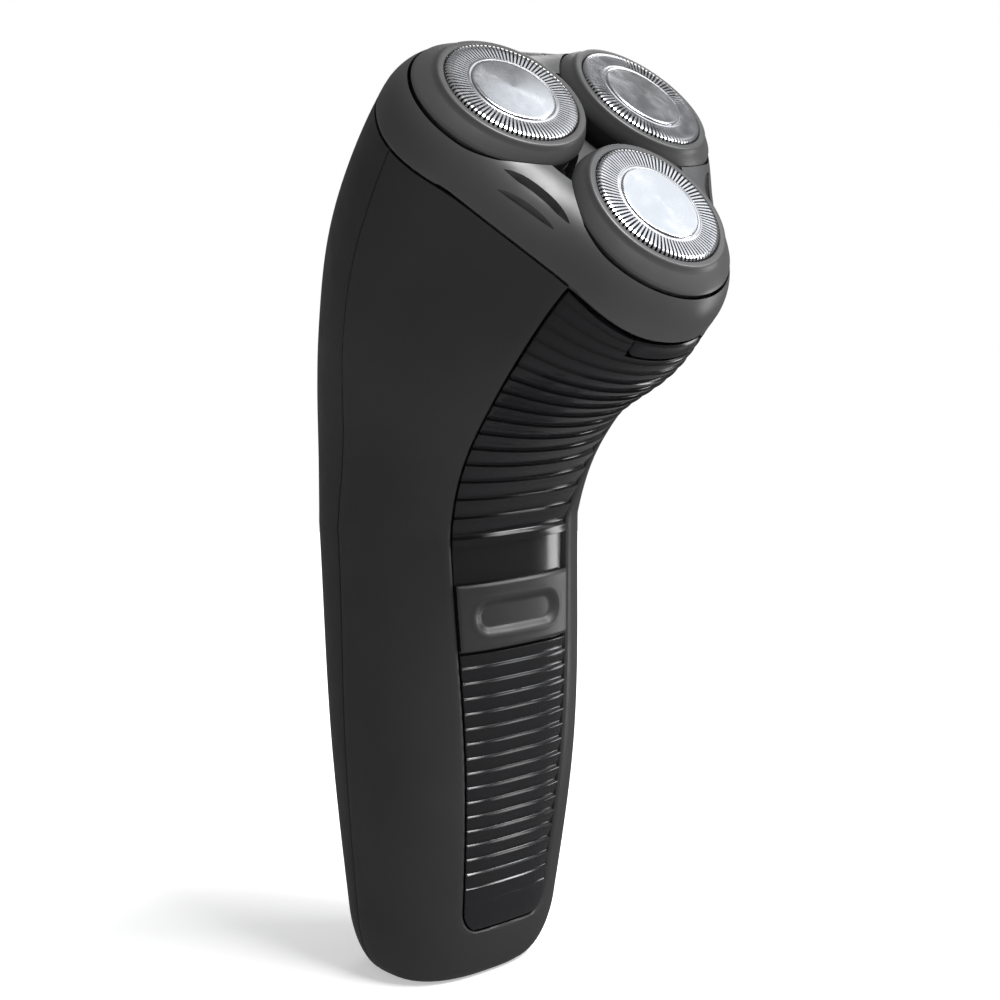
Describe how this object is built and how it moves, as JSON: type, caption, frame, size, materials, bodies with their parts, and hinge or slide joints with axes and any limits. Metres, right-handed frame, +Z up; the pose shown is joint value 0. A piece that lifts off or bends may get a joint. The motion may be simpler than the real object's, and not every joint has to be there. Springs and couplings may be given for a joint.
{
  "type": "electric shaver",
  "caption": "Rotary electric shaver: upright handle with a ribbed grip and slide switch, and a forward-tilted flip-open head with three spring-mounted round cutting units.",
  "frame": {"origin": "on the flat foot of the handle, in the plane of symmetry, under the handle's axis", "axes": "+Z up the handle towards the head, -Y the front with the grip panel, switch and release button, +X to the right seen from the front"},
  "size_m": [0.0624, 0.0745, 0.1587],
  "materials": {
    "shell_black": "satin, very fine grain",
    "panel_black": "glossy, softly ribbed",
    "switch_grey": "satin",
    "head_grey": "satin",
    "inner_plastic": "as moulded",
    "white_plastic": "natural acetal",
    "board_green": "solder mask",
    "cell_sleeve": "printed shrink sleeve over a metal can, left plain",
    "contact_metal": "nickel-plated",
    "bright_steel": "plated",
    "magnet_grey": "sintered",
    "rotor_copper": "copper winding on laminations",
    "foil_steel": "finely slotted and ground",
    "polished_cap": "polished"
  },
  "bodies": {
    "body": {"front_housing": "shell_black", "rear_housing": "shell_black", "grip_panel": "panel_black", "circuit_board": "board_green", "battery_tray": "inner_plastic", "battery_cells": "cell_sleeve", "battery_tabs": "contact_metal", "inlet_socket": "inner_plastic", "inlet_pins": "contact_metal", "housing_screws": "bright_steel", "motor_can": "bright_steel", "motor_magnets": "magnet_grey", "motor_end_cap": "white_plastic", "gear_plate": "inner_plastic", "gear_screws": "bright_steel", "gear_cover": "inner_plastic", "hinge_lugs": "shell_black", "hinge_pin": "bright_steel"},
    "switch": {"slide_switch": "switch_grey", "switch_carrier": "inner_plastic"},
    "button": {"release_button": "panel_black"},
    "shaft": {"motor_rotor": "rotor_copper", "motor_shaft": "bright_steel", "motor_pinion": "white_plastic"},
    "head": {"head_frame": "head_grey", "hinge_barrel": "head_grey", "retaining_frame": "inner_plastic"},
    "wheel": {"retaining_wheel": "white_plastic"},
    "gear_1": {"drive_gear_1": "white_plastic", "spindle_spring_1": "bright_steel"},
    "spindle_1": {"drive_spindle_1": "white_plastic"},
    "cup_1": {"head_cup_1": "head_grey"},
    "shaver_1": {"guard_1": "foil_steel", "guard_cap_1": "polished_cap"},
    "blades_1": {"cutter_1": "foil_steel"},
    "gear_2": {"drive_gear_2": "white_plastic", "spindle_spring_2": "bright_steel"},
    "spindle_2": {"drive_spindle_2": "white_plastic"},
    "cup_2": {"head_cup_2": "head_grey"},
    "shaver_2": {"guard_2": "foil_steel", "guard_cap_2": "polished_cap"},
    "blades_2": {"cutter_2": "foil_steel"},
    "gear_3": {"drive_gear_3": "white_plastic", "spindle_spring_3": "bright_steel"},
    "spindle_3": {"drive_spindle_3": "white_plastic"},
    "cup_3": {"head_cup_3": "head_grey"},
    "shaver_3": {"guard_3": "foil_steel", "guard_cap_3": "polished_cap"},
    "blades_3": {"cutter_3": "foil_steel"}
  },
  "joints": [
    {"name": "switch_slide", "type": "slide", "parent": "body", "child": "switch", "axis": [0, 0, 1], "range_m": [0, 0.006]},
    {"name": "release_press", "type": "slide", "parent": "body", "child": "button", "axis": [0, 0.7193, 0.6947], "range_m": [0, 0.0015], "stiffness_N_per_m": 500, "springref_m": -0.0008},
    {"name": "head_flip", "type": "hinge", "parent": "body", "child": "head", "pos_m": [0, -0.01175, 0.15633], "axis": [-1, 0, 0], "range_deg": [0, 100]},
    {"name": "wheel_turn", "type": "hinge", "parent": "head", "child": "wheel", "pos_m": [0, -0.02764, 0.13737], "axis": [0, 0.6947, -0.7193], "range_deg": [0, 60]},
    {"name": "motor_spin", "type": "hinge", "parent": "body", "child": "shaft", "pos_m": [0, -0.0218, 0.13133], "axis": [0, -0.6947, 0.7193], "continuous": true},
    {"name": "gear_spin_1", "type": "hinge", "parent": "body", "child": "gear_1", "pos_m": [-0.01377, -0.01817, 0.13901], "axis": [0, -0.6947, 0.7193], "continuous": true},
    {"name": "spindle_press_1", "type": "slide", "parent": "gear_1", "child": "spindle_1", "axis": [0, 0.6947, -0.7193], "range_m": [0, 0.001], "deforming": ["spindle_spring_1"]},
    {"name": "cup_tilt_1", "type": "hinge", "parent": "head", "child": "cup_1", "pos_m": [-0.01344, -0.02367, 0.14444], "axis": [-0.5, -0.623, -0.6016], "range_deg": [-2.5, 2.5], "stiffness_Nm_per_rad": 0.3},
    {"name": "guard_press_1", "type": "slide", "parent": "cup_1", "child": "shaver_1", "axis": [0.0695, 0.6636, -0.7449], "range_m": [0, 0.001], "stiffness_N_per_m": 500, "springref_m": -0.0008},
    {"name": "cutter_spin_1", "type": "hinge", "parent": "shaver_1", "child": "blades_1", "pos_m": [-0.01402, -0.02918, 0.15062], "axis": [-0.0695, -0.6636, 0.7449], "continuous": true},
    {"name": "gear_spin_2", "type": "hinge", "parent": "body", "child": "gear_2", "pos_m": [0.01377, -0.01817, 0.13901], "axis": [0, -0.6947, 0.7193], "continuous": true},
    {"name": "spindle_press_2", "type": "slide", "parent": "gear_2", "child": "spindle_2", "axis": [0, 0.6947, -0.7193], "range_m": [0, 0.001], "deforming": ["spindle_spring_2"]},
    {"name": "cup_tilt_2", "type": "hinge", "parent": "head", "child": "cup_2", "pos_m": [0.01344, -0.02367, 0.14444], "axis": [-0.5, 0.623, 0.6016], "range_deg": [-2.5, 2.5], "stiffness_Nm_per_rad": 0.3},
    {"name": "guard_press_2", "type": "slide", "parent": "cup_2", "child": "shaver_2", "axis": [-0.0695, 0.6636, -0.7449], "range_m": [0, 0.001], "stiffness_N_per_m": 500, "springref_m": -0.0008},
    {"name": "cutter_spin_2", "type": "hinge", "parent": "shaver_2", "child": "blades_2", "pos_m": [0.01402, -0.02918, 0.15062], "axis": [0.0695, -0.6636, 0.7449], "continuous": true},
    {"name": "gear_spin_3", "type": "hinge", "parent": "body", "child": "gear_3", "pos_m": [0, -0.03532, 0.12244], "axis": [0, -0.6947, 0.7193], "continuous": true},
    {"name": "spindle_press_3", "type": "slide", "parent": "gear_3", "child": "spindle_3", "axis": [0, 0.6947, -0.7193], "range_m": [0, 0.001], "deforming": ["spindle_spring_3"]},
    {"name": "cup_tilt_3", "type": "hinge", "parent": "head", "child": "cup_3", "pos_m": [0, -0.04042, 0.12827], "axis": [1, 0, 0], "range_deg": [-2.5, 2.5], "stiffness_Nm_per_rad": 0.3},
    {"name": "guard_press_3", "type": "slide", "parent": "cup_3", "child": "shaver_3", "axis": [0, 0.7501, -0.6613], "range_m": [0, 0.001], "stiffness_N_per_m": 500, "springref_m": -0.0008},
    {"name": "cutter_spin_3", "type": "hinge", "parent": "shaver_3", "child": "blades_3", "pos_m": [0, -0.04664, 0.13376], "axis": [0, -0.7501, 0.6613], "continuous": true}
  ],
  "couplings": [
    {"joint": "motor_spin", "follows": "gear_spin_1", "ratio": -1.65},
    {"joint": "spindle_press_1", "follows": "guard_press_1", "ratio": 1},
    {"joint": "cutter_spin_1", "follows": "gear_spin_1", "ratio": 1},
    {"joint": "spindle_press_2", "follows": "guard_press_2", "ratio": 1},
    {"joint": "cutter_spin_2", "follows": "gear_spin_1", "ratio": 1},
    {"joint": "gear_spin_2", "follows": "gear_spin_1", "ratio": 1},
    {"joint": "spindle_press_3", "follows": "guard_press_3", "ratio": 1},
    {"joint": "cutter_spin_3", "follows": "gear_spin_1", "ratio": 1},
    {"joint": "gear_spin_3", "follows": "gear_spin_1", "ratio": 1}
  ]
}
